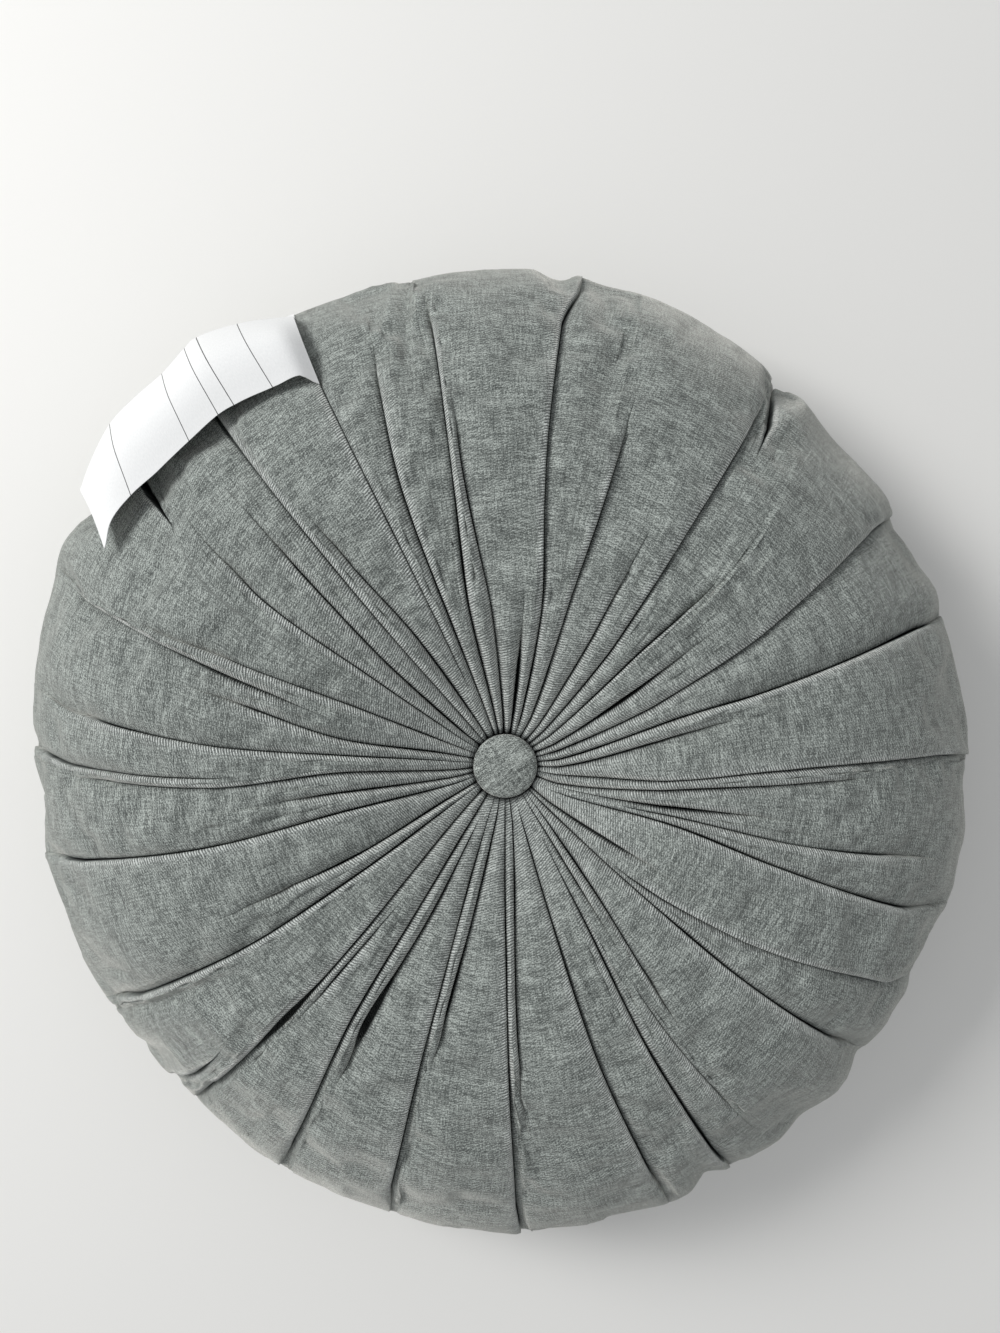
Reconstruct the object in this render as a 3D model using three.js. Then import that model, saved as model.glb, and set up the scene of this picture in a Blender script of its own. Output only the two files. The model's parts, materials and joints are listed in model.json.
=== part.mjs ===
// A round cushion, tufted at its middle. One pleated cover is filled and drawn in by a covered
// button on each face, and a plain white label is sewn in the seam round its side.
// The cushion lies on its back. Units are millimetres, +Z points out of the front face, +Y to the
// edge of the face nearest the label, and the origin is under the middle, on the surface it lies on.
import * as THREE from 'three';

// Driving dimensions
const FACE_RADIUS = 203; // half the mean width, measured at the seam round the side
const STRETCH = 0.022; // share by which the face is longer one way and shorter the other
const STRETCH_TURN = 112; // direction in which the face is longer, degrees from +X
const SEAT_RADIUS = 15; // flat place in the cover that a button is drawn down on
const FRONT_SEAT = 77; // height of the front button's seat
const BACK_SEAT = 20; // height of the back button's seat
const FLAT_OUTER = 142; // ring of the back that is pressed flat by the surface below
const FLAT_INNER = 62;
const SEAM_HEIGHT = 48; // height of the seam round the side
const SEAM_RADIUS = 201.5; // the seam is drawn in a little, in a shallow groove
const BUTTON_RADIUS = 12.8;
const BUTTON_EDGE = 2.6; // height of the button's upright edge
const BUTTON_DOME = 7; // height of the button at its middle
const BUTTON_ROUND = 1.2; // rounding under the button's edge
const CLEARANCE = 0.3; // gap kept between pieces that touch on the real cushion
const LABEL_START = 116; // the label's two ends, degrees from +X
const LABEL_END = 152;
const LABEL_THICKNESS = 1;

// Section of the filled cover, from the front button's seat out over the crown to the seam.
const FRONT_SECTION = [
  { radius: SEAT_RADIUS, height: FRONT_SEAT },
  { radius: 20, height: 83 },
  { radius: 27, height: 88 },
  { radius: 37, height: 92.8 },
  { radius: 50, height: 97.3 },
  { radius: 66, height: 101 },
  { radius: 85, height: 104 },
  { radius: 105, height: 105 },
  { radius: 125, height: 103.5 },
  { radius: 143, height: 99.5 },
  { radius: 159, height: 93 },
  { radius: 173, height: 84.5 },
  { radius: 185, height: 75 },
  { radius: 194, height: 64.5 },
  { radius: 200.5, height: 54 },
  { radius: SEAM_RADIUS, height: SEAM_HEIGHT },
];

// The back of the cover, from just under the seam to the back button's seat.
const BACK_SECTION = [
  { radius: FACE_RADIUS, height: 43 },
  { radius: 199, height: 31 },
  { radius: 189, height: 18 },
  { radius: 174, height: 7.5 },
  { radius: 158, height: 2 },
  { radius: FLAT_OUTER, height: 0 },
  { radius: FLAT_INNER, height: 0 },
  { radius: 44, height: 4.5 },
  { radius: 28, height: 11 },
  { radius: 20, height: 16 },
  { radius: SEAT_RADIUS, height: BACK_SEAT },
];

// Pleats of the front face. Each row gives the pleat's direction in degrees at four distances from
// the middle, the radii at which it starts and ends, the side that lies on top (1 for the side of
// the larger angle, -1 for the other, 0 for a plain valley) and how deep it is beside a full pleat.
const STATIONS = [25, 60, 110, 175];
const PLEAT_COLUMNS = ['button', 'inner', 'middle', 'rim', 'from', 'to', 'lip', 'depth'];
const PLEATS = [
  [-25, -18.3, -19, -19, 38, 190, -1, 1],
  [-22.3, -15.8, -14.2, -12, 62, 168, -1, 0.8],
  [-19.6, -13, -9.5, -8, 35, 96, 1, 1],
  [-16.5, -7, -2.7, -3.5, 15, 130, 1, 1],
  [-7.5, -3.5, 1, 1.5, 25, 200, 1, 1],
  [1.5, 11, 13, 9, 16, 80, 1, 1],
  [9, 16.5, 17.5, 18, 20, 201, -1, 1],
  [18, 23.5, 28.5, 32, 24, 202, 1, 1],
  [26, 32, 35, 37, 17, 78, 1, 1],
  [36, 41.5, 42, 44, 17, 100, -1, 1],
  [40, 45.5, 48, 51, 165, 203, -1, 0.8],
  [44, 49, 53, 54.2, 20, 180, 1, 1],
  [52.5, 57.5, 60, 62, 18, 84, 1, 1],
  [64, 69.2, 70.3, 71.2, 20, 131, 1, 1],
  [68.5, 73.2, 75.5, 75, 140, 190, 0, 0.35],
  [73.5, 77.5, 82, 82.3, 24, 196, 1, 1],
  [82, 84, 86.5, 88, 17, 52, 1, 1],
  [93, 95.2, 98, 97, 17, 128, 1, 1],
  [102, 103.4, 100.7, 100, 20, 178, -1, 1],
  [105.5, 107, 104.5, 103.3, 140, 198, 0, 0.35],
  [109.2, 110.4, 110, 106.6, 18, 157, -1, 1],
  [114.3, 114.6, 115.3, 115.7, 50, 166, 1, 0.45],
  [122, 123.6, 127, 125, 20, 103, 1, 1],
  [130, 130, 129.8, 129.5, 24, 180, -1, 0.8],
  [140, 137.6, 135.4, 134, 18, 118, 1, 1],
  [146.5, 144.8, 144.4, 142.5, 26, 182, 1, 0.7],
  [157, 156.5, 157.6, 156, 22, 118, 1, 0.9],
  [162, 162, 160.6, 158.4, 85, 181, -1, 1],
  [167, 168.6, 165, 164, 20, 108, 1, 1],
  [173.3, 173.8, 174.4, 172.8, 30, 187, 1, 0.9],
  [177.5, 177, 180, 179.7, 122, 199, 1, 0.7],
  [182, 180.3, 182.5, 182.4, 18, 165, -1, 1],
  [190.6, 187.1, 187.4, 187, 15, 79, 1, 1],
  [197, 193.7, 193.7, 192.8, 28, 201, 1, 1],
  [209, 209, 207, 205, 15, 98, 1, 1],
  [215, 214.5, 213.9, 212, 26, 193, 1, 1],
  [220.5, 221, 222, 224.3, 170, 203, -1, 0.8],
  [226, 227.2, 228, 228.2, 15, 201, -1, 1.3],
  [231.5, 230.4, 230.2, 232.5, 78, 118, 1, 0.7],
  [237.5, 237.5, 238, 240.4, 20, 199, -1, 1],
  [243, 242.3, 240.8, 243.5, 64, 125, -1, 1],
  [251.5, 252.5, 253.3, 255, 28, 191, -1, 1],
  [259.5, 257, 256, 258, 28, 103, -1, 1],
  [269.7, 269.7, 270.3, 271.5, 28, 199, -1, 1],
  [276.5, 273, 272.5, 275, 26, 116, -1, 1],
  [287, 286.7, 287.4, 289.7, 36, 187, -1, 1],
  [292.5, 292.5, 293.5, 294, 64, 90, 0, 0.4],
  [297.5, 297.6, 297, 298, 58, 201, -1, 1],
  [299.5, 300, 301, 303, 104, 164, -1, 0.6],
  [301.7, 302.2, 302.6, 305, 24, 63, 1, 1],
  [307.5, 306, 304.3, 307.5, 32, 97, -1, 1],
  [315.8, 317.4, 318.5, 319.8, 24, 183, -1, 1],
  [318.2, 320, 324.3, 329.2, 64, 191, 1, 0.8],
  [321.5, 326.5, 328.5, 333, 19, 63, 1, 1],
].map((row) => Object.fromEntries(PLEAT_COLUMNS.map((name, i) => [name, row[i]])));

// A pleat's channel: half its width, its depth, and how long it takes to fade at its ends.
const CHANNEL_WIDTH = { atButton: 1.2, atCrown: 3 };
const CHANNEL_DEPTH = { atButton: 5, atCrown: 3.2, onBack: 2.6 };
const CROWN_START = 80; // radius from which the channels have their outer width and depth
const BACK_FULL = { outer: 189, inner: 158, middle: 44 }; // radii where the back's are full depth
const FADE = 9;
const FREE_TURN = 0.25; // part of a station's step that a pleat still turns inside the first one
const GAP_SHARE = 0.42; // most of the way to its neighbour that half a channel may take
const DEPTH_LIMIT = 1.4; // deepest channel beside its own half width
const LIP_SHIFT = 0.3; // share of the half width by which a slit runs under the side on top
const LIP_WIDTH = 0.6; // share of the half width that the side on top takes

// The label's middle line across its width, from the edge sewn in the seam to the free edge.
const LABEL_PATH = [
  { radius: SEAM_RADIUS + 2 * CLEARANCE, height: SEAM_HEIGHT },
  { radius: 206, height: 51 },
  { radius: 209, height: 58 },
  { radius: 209, height: 67 },
  { radius: 205, height: 76 },
  { radius: 196, height: 82.5 },
  { radius: 186, height: 86 },
  { radius: 178, height: 87.5 },
];
const LABEL_STEPS = 14;
const BUTTON_SIDES = 28;
const BUTTON_DOME_STEPS = 4;

const rad = THREE.MathUtils.degToRad;
const { clamp, lerp, smoothstep } = THREE.MathUtils;

// A point of the cushion from its direction in degrees, radius and height.
function place(turn, radius, height) {
  const longer = 1 + STRETCH * Math.cos(2 * rad(turn - STRETCH_TURN));
  const reach = radius * longer;
  return [reach * Math.cos(rad(turn)), reach * Math.sin(rad(turn)), height];
}

// Where a radius falls among the four stations, with equal steps on a logarithmic scale.
function stationOf(radius) {
  const last = STATIONS.length - 2;
  let i = 0;
  while (i < last && radius > STATIONS[i + 1]) i += 1;
  return i + Math.log(radius / STATIONS[i]) / Math.log(STATIONS[i + 1] / STATIONS[i]);
}

// A pleat's direction at a radius of the front: a smooth curve through its four stations.
function frontTurn(pleat, radius) {
  const knots = [pleat.button, pleat.inner, pleat.middle, pleat.rim];
  const s = stationOf(radius);
  const i = clamp(Math.floor(s), 0, knots.length - 2);
  const before = i > 0 ? knots[i - 1] : 2 * knots[0] - knots[1];
  const after = i < 2 ? knots[i + 2] : knots[3];
  const t = clamp(s - i, -FREE_TURN, 1);
  const slopeIn = (knots[i + 1] - before) / 2;
  const slopeOut = (after - knots[i]) / 2;
  if (t < 0) return knots[i] + slopeIn * t;
  const bend = 3 * t ** 2 - 2 * t ** 3;
  const rise = (t - 2 * t ** 2 + t ** 3) * slopeIn + (t ** 3 - t ** 2) * slopeOut;
  return lerp(knots[i], knots[i + 1], bend) + rise;
}

// On the back the pleats even out on their way from the seam to the back button.
function backTurn(pleat, index, radius) {
  const even = PLEATS[0].rim + (index * 360) / PLEATS.length;
  const evened = smoothstep(FACE_RADIUS - radius, 0, FACE_RADIUS - FLAT_INNER);
  return lerp(frontTurn(pleat, FACE_RADIUS), even, evened);
}

function frontDepth(pleat, radius) {
  const crown = smoothstep(radius, SEAT_RADIUS, CROWN_START);
  const full = lerp(CHANNEL_DEPTH.atButton, CHANNEL_DEPTH.atCrown, crown) * pleat.depth;
  const starts = smoothstep(radius, pleat.from - FADE / 2, pleat.from + FADE / 2);
  const ends = 1 - smoothstep(radius, pleat.to - FADE, pleat.to + FADE / 2);
  return full * starts * ends;
}

function backDepth(radius) {
  const leavesSeam = 1 - smoothstep(radius, BACK_FULL.outer, FACE_RADIUS);
  const side = smoothstep(radius, FLAT_OUTER, BACK_FULL.inner) * leavesSeam;
  const middle = 1 - smoothstep(radius, BACK_FULL.middle, FLAT_INNER);
  return CHANNEL_DEPTH.onBack * (side + middle);
}

// Direction square to the section at one of its rows, pointing out of the filling.
function outward(section, i) {
  const before = section[Math.max(i - 1, 0)];
  const after = section[Math.min(i + 1, section.length - 1)];
  const alongRadius = after.radius - before.radius;
  const alongHeight = after.height - before.height;
  const length = Math.hypot(alongRadius, alongHeight);
  return { radius: -alongHeight / length, height: alongRadius / length };
}

// One ring of the cover: for each pleat the shoulder before it, its bottom and the shoulder after.
function coverRing(section, i, isFront) {
  const { radius, height } = section[i];
  const isSeat = radius === SEAT_RADIUS;
  const normal = outward(section, i);
  const turns = PLEATS.map((pleat, index) => (
    isFront ? frontTurn(pleat, radius) : backTurn(pleat, index, radius)));
  const widest = lerp(CHANNEL_WIDTH.atButton, CHANNEL_WIDTH.atCrown,
    smoothstep(radius, SEAT_RADIUS, CROWN_START));
  const degreesPerMm = THREE.MathUtils.radToDeg(1 / radius);
  const ring = [];
  PLEATS.forEach((pleat, index) => {
    const turn = turns[index];
    const last = PLEATS.length - 1;
    const before = index > 0 ? turns[index - 1] : turns[last] - 360;
    const after = index < last ? turns[index + 1] : turns[0] + 360;
    const halfBefore = Math.min(widest, ((turn - before) * GAP_SHARE) / degreesPerMm);
    const halfAfter = Math.min(widest, ((after - turn) * GAP_SHARE) / degreesPerMm);
    const wanted = isFront ? frontDepth(pleat, radius) : backDepth(radius);
    const deepest = DEPTH_LIMIT * Math.min(halfBefore, halfAfter);
    const depth = isSeat ? 0 : Math.min(wanted, deepest);
    const lip = isFront ? pleat.lip : 0;
    const shareBefore = lip < 0 ? LIP_WIDTH : 1;
    const shareAfter = lip > 0 ? LIP_WIDTH : 1;
    const shift = lip * LIP_SHIFT * (lip < 0 ? halfBefore : halfAfter);
    ring.push(place(turn - halfBefore * shareBefore * degreesPerMm, radius, height));
    ring.push(place(turn + shift * degreesPerMm, radius - depth * normal.radius,
      height - depth * normal.height));
    ring.push(place(turn + halfAfter * shareAfter * degreesPerMm, radius, height));
  });
  return ring;
}

// Faces between neighbouring rings of equal length, the first ring starting at point number first.
function facesBetween(rings, first) {
  const count = rings[0].length;
  const faces = [];
  for (let r = 0; r < rings.length - 1; r += 1) {
    const here = first + r * count;
    const beyond = here + count;
    for (let c = 0; c < count; c += 1) {
      const next = (c + 1) % count;
      faces.push(here + c, beyond + c, beyond + next);
      faces.push(here + c, beyond + next, here + next);
    }
  }
  return faces;
}

function bodyFrom(points, faces) {
  const geometry = new THREE.BufferGeometry();
  geometry.setAttribute('position', new THREE.Float32BufferAttribute(points.flat(), 3));
  geometry.setIndex(faces);
  geometry.computeVertexNormals();
  return geometry;
}

// The cover, closed by a flat disc at each button's seat.
function coverGeometry() {
  const section = [...FRONT_SECTION, ...BACK_SECTION];
  const rings = section.map((_, i) => coverRing(section, i, i < FRONT_SECTION.length));
  const points = [[0, 0, FRONT_SEAT], ...rings.flat(), [0, 0, BACK_SEAT]];
  const faces = facesBetween(rings, 1);
  const count = rings[0].length;
  const lastRing = 1 + (rings.length - 1) * count;
  for (let c = 0; c < count; c += 1) {
    const next = (c + 1) % count;
    faces.push(0, 1 + c, 1 + next);
    faces.push(points.length - 1, lastRing + next, lastRing + c);
  }
  return bodyFrom(points, faces);
}

// A covered button: a flat underside, a short upright edge and a low dome.
function buttonGeometry() {
  const profile = [
    new THREE.Vector2(0, 0),
    new THREE.Vector2(BUTTON_RADIUS - BUTTON_ROUND, 0),
    new THREE.Vector2(BUTTON_RADIUS, BUTTON_ROUND),
    new THREE.Vector2(BUTTON_RADIUS, BUTTON_EDGE),
  ];
  for (let i = 1; i < BUTTON_DOME_STEPS; i += 1) {
    const t = (i / BUTTON_DOME_STEPS) * (Math.PI / 2);
    const rise = (BUTTON_DOME - BUTTON_EDGE) * Math.sin(t);
    profile.push(new THREE.Vector2(BUTTON_RADIUS * Math.cos(t), BUTTON_EDGE + rise));
  }
  profile.push(new THREE.Vector2(0, BUTTON_DOME));
  return new THREE.LatheGeometry(profile, BUTTON_SIDES).rotateX(Math.PI / 2);
}

// The label: a thin curled sheet, with one ring round its section at each step of its length.
function labelGeometry() {
  const half = LABEL_THICKNESS / 2;
  const normals = LABEL_PATH.map((_, i) => outward(LABEL_PATH, i));
  const side = (sign) => LABEL_PATH.map((point, i) => [
    point.radius + sign * half * normals[i].radius, point.height + sign * half * normals[i].height]);
  const loop = [...side(-1), ...side(1).reverse()];
  const rings = [];
  for (let step = 0; step <= LABEL_STEPS; step += 1) {
    const turn = lerp(LABEL_START, LABEL_END, step / LABEL_STEPS);
    rings.push(loop.map(([radius, height]) => place(turn, radius, height)));
  }
  const faces = facesBetween(rings, 0);
  const count = loop.length;
  const lastRing = (rings.length - 1) * count;
  for (let c = 0; c < LABEL_PATH.length - 1; c += 1) {
    const across = count - 1 - c;
    faces.push(c, c + 1, across - 1);
    faces.push(c, across - 1, across);
    faces.push(lastRing + c + 1, lastRing + c, lastRing + across);
    faces.push(lastRing + c + 1, lastRing + across, lastRing + across - 1);
  }
  return bodyFrom(rings.flat(), faces);
}

const clothMaterial = new THREE.MeshStandardMaterial({ color: 0x7f8987, roughness: 0.95 });
const buttonMaterial = new THREE.MeshStandardMaterial({ color: 0x7b8583, roughness: 0.95 });
const labelMaterial = new THREE.MeshStandardMaterial({ color: 0xf2f3f2, roughness: 0.7 });

const cushion = new THREE.Group();

const cover = new THREE.Mesh(coverGeometry(), clothMaterial);
cover.name = 'pleated_cover';
cushion.add(cover);

const frontButton = new THREE.Mesh(buttonGeometry(), buttonMaterial);
frontButton.name = 'front_button';
frontButton.position.z = FRONT_SEAT + CLEARANCE;
cushion.add(frontButton);

const backButton = new THREE.Mesh(buttonGeometry(), buttonMaterial);
backButton.name = 'back_button';
backButton.rotation.x = Math.PI;
backButton.position.z = BACK_SEAT - CLEARANCE;
cushion.add(backButton);

const label = new THREE.Mesh(labelGeometry(), labelMaterial);
label.name = 'label';
cushion.add(label);

export default cushion;
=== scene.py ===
# %% [markdown]
# # A round cushion with a pleated cover
# This lesson builds the looks of a tufted round cushion around its measured model. The cushion
# is a filled cover of soft brushed cloth, folded into pleats that run from the side to a covered
# button in the middle of each face. A plain white label is sewn in the seam round the side.
# The cushion lies on its back and the camera looks down at its front face.

# %% Open the measured model
import json
import math
import bpy
from mathutils import Matrix, Vector, noise

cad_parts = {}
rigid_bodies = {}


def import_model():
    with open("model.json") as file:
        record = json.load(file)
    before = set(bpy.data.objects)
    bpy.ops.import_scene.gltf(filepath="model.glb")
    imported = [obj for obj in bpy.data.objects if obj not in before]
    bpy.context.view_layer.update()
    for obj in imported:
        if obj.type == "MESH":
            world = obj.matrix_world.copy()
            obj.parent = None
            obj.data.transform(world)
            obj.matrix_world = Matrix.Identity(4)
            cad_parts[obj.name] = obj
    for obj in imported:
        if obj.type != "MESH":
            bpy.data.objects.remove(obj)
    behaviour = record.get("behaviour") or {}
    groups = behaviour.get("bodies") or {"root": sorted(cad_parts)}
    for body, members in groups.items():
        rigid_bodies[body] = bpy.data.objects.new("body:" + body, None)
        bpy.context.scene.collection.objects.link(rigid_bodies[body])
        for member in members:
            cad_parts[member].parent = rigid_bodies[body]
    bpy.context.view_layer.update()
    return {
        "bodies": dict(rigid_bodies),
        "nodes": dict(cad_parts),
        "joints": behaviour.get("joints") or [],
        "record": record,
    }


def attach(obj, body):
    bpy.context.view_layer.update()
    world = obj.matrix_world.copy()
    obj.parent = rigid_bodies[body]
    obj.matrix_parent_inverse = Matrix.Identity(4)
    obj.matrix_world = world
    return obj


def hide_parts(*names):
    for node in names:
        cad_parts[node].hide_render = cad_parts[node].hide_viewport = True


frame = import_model()
MM = 0.001

# %% [markdown]
# ## Camera
# The photograph was taken close to the face with a wide lens, so the near parts look larger than
# the far ones. The camera could be aimed by eye, but its place and turn were worked out from the
# cushion's own outline, so they are written down as a point and two directions. It looks nearly
# straight down, because the cushion lies on its back here.

# %% Camera
CAMERA_PLACE = Vector((-0.0106, 0.05285, 0.4784))
CAMERA_AHEAD = Vector((0.02138, -0.03267, -0.99924))
CAMERA_UP = Vector((0.00086, 0.99947, -0.03266))
CAMERA_LENS = 27.0
NEAREST_SEEN = 0.01


def linked_object(name, data):
    """A new object of the scene for some data."""
    made = bpy.data.objects.new(name, data)
    bpy.context.collection.objects.link(made)
    return made


def add_camera():
    """A camera at the photograph's place, looking down at the front face."""
    camera = linked_object("camera", bpy.data.cameras.new("camera"))
    right = CAMERA_AHEAD.cross(CAMERA_UP).normalized()
    up = right.cross(CAMERA_AHEAD).normalized()
    turn = Matrix((right, up, -CAMERA_AHEAD)).transposed().to_4x4()
    camera.matrix_world = Matrix.Translation(CAMERA_PLACE) @ turn
    camera.data.lens = CAMERA_LENS
    camera.data.clip_start = NEAREST_SEEN
    bpy.context.scene.camera = camera
    return camera


print("camera at", tuple(add_camera().location))

# %% [markdown]
# ## The cover's section
# Cut through the middle, the filled cover is a curve: down in the middle where the button pulls
# it in, up over the crown, round the side, and flat at the back where it lies on the surface.
# It could be turned as a lathe shape, but the pleats need their own columns, so only the curve
# is made here. A few points carry it, and a smooth curve through them gives as many rings as
# the pleats need. All measures of the cloth are in millimetres until its points are placed.

# %% Section curve
SEAM_HEIGHT = 48
SEAM_RADIUS = 202.5
FRONT_SECTION = [
    (7, 79.3), (11, 79.8), (13.2, 81), (16, 82.6), (21, 84.6), (28, 87), (38, 91.2), (50, 96.6),
    (62, 100.6), (75, 103.2), (88, 104.5), (105, 105), (125, 103.5), (143, 99.5), (159, 93),
    (173, 84.5), (185, 75), (194, 64.5), (200.5, 54), (SEAM_RADIUS, SEAM_HEIGHT),
]
BACK_SECTION = [
    (203, 43), (199, 31), (189, 18), (174, 7.5), (158, 2), (142, 0), (122, 0), (102, 0), (82, 0),
    (62, 0), (44, 4.5), (28, 10), (20, 13.5), (15, 16.5), (12, 18.5), (7, 19.5),
]
FRONT_ROW_STEP = 3.0
BACK_ROW_STEP = 6.8
WALK_PARTS = 40


# %% Curve helpers
def clamp(value, low, high):
    return max(low, min(high, value))


def blend(a, b, share):
    return a + (b - a) * share


def smoothstep(value, low, high):
    share = clamp((value - low) / (high - low), 0.0, 1.0)
    return share * share * (3 - 2 * share)


def curve_between(before, first, second, after, share):
    """A value on the smooth curve from first to second, sloped by the values beside them."""
    slope_in = (second - before) / 2
    slope_out = (after - first) / 2
    bend = 3 * share**2 - 2 * share**3
    rise = (share - 2 * share**2 + share**3) * slope_in + (share**3 - share**2) * slope_out
    return blend(first, second, bend) + rise


def curve_point(points, i, share):
    """A point between points i and i + 1 of a smooth curve through them all."""
    before = points[max(i - 1, 0)]
    after = points[min(i + 2, len(points) - 1)]
    return [curve_between(*values, share) for values in zip(before, points[i], points[i + 1], after)]


def walk(points, step):
    """Points at equal steps along the curve, each with its length from the curve's start."""
    fine = []
    for i in range(len(points) - 1):
        fine.extend(curve_point(points, i, k / WALK_PARTS) for k in range(WALK_PARTS))
    fine.append(list(points[-1]))
    lengths = [0.0]
    for a, b in zip(fine, fine[1:]):
        lengths.append(lengths[-1] + math.dist(a, b))
    count = round(lengths[-1] / step)
    walked = []
    k = 0
    for n in range(count + 1):
        wanted = lengths[-1] * n / count
        while k < len(fine) - 2 and lengths[k + 1] < wanted:
            k += 1
        share = (wanted - lengths[k]) / (lengths[k + 1] - lengths[k])
        spot = [blend(a, b, share) for a, b in zip(fine[k], fine[k + 1])]
        walked.append((spot[0], spot[1], wanted))
    return walked


print("halfway along a bent line:", curve_point([(0, 0), (1, 1), (2, 0)], 0, 0.5))


# %% Rings of the cover
def section_rows():
    """The rings of the cover, front first, with the direction that points out of the filling."""
    front = walk(FRONT_SECTION, FRONT_ROW_STEP)
    back = walk([FRONT_SECTION[-1]] + BACK_SECTION, BACK_ROW_STEP)[1:]
    length = front[-1][2]
    spots = front + [(radius, height, length + s) for radius, height, s in back]
    rows = []
    for i, (radius, height, s) in enumerate(spots):
        before = spots[max(i - 1, 0)]
        after = spots[min(i + 1, len(spots) - 1)]
        along = Vector((after[0] - before[0], after[1] - before[1])).normalized()
        rows.append({
            "radius": radius, "height": max(height, 0.0), "length": s,
            "out": (-along.y, along.x), "front": i < len(front), "seam": s - length,
        })
    return rows


ROWS = section_rows()
print("rings:", len(ROWS), "from button to button:", round(ROWS[-1]["length"]), "mm")

# %% [markdown]
# ## The pleats
# No two pleats of the real cover are alike: some run the whole way, some end half way, and each
# leans to one side. A row of this table is one fold: its direction in degrees at five distances
# from the middle, where its slot starts and ends, how far its soft crease runs on past that, the
# side that lies on top (1 for the side of the larger angle, -1 for the other, 0 for a dent
# without a slot), how deep it is beside a full pleat, below nought for a raised crease, the
# reach of its valley, and how far it gapes and where. Lengths are in millimetres. A smooth curve
# through the five directions gives the fold's way at any distance.

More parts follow.
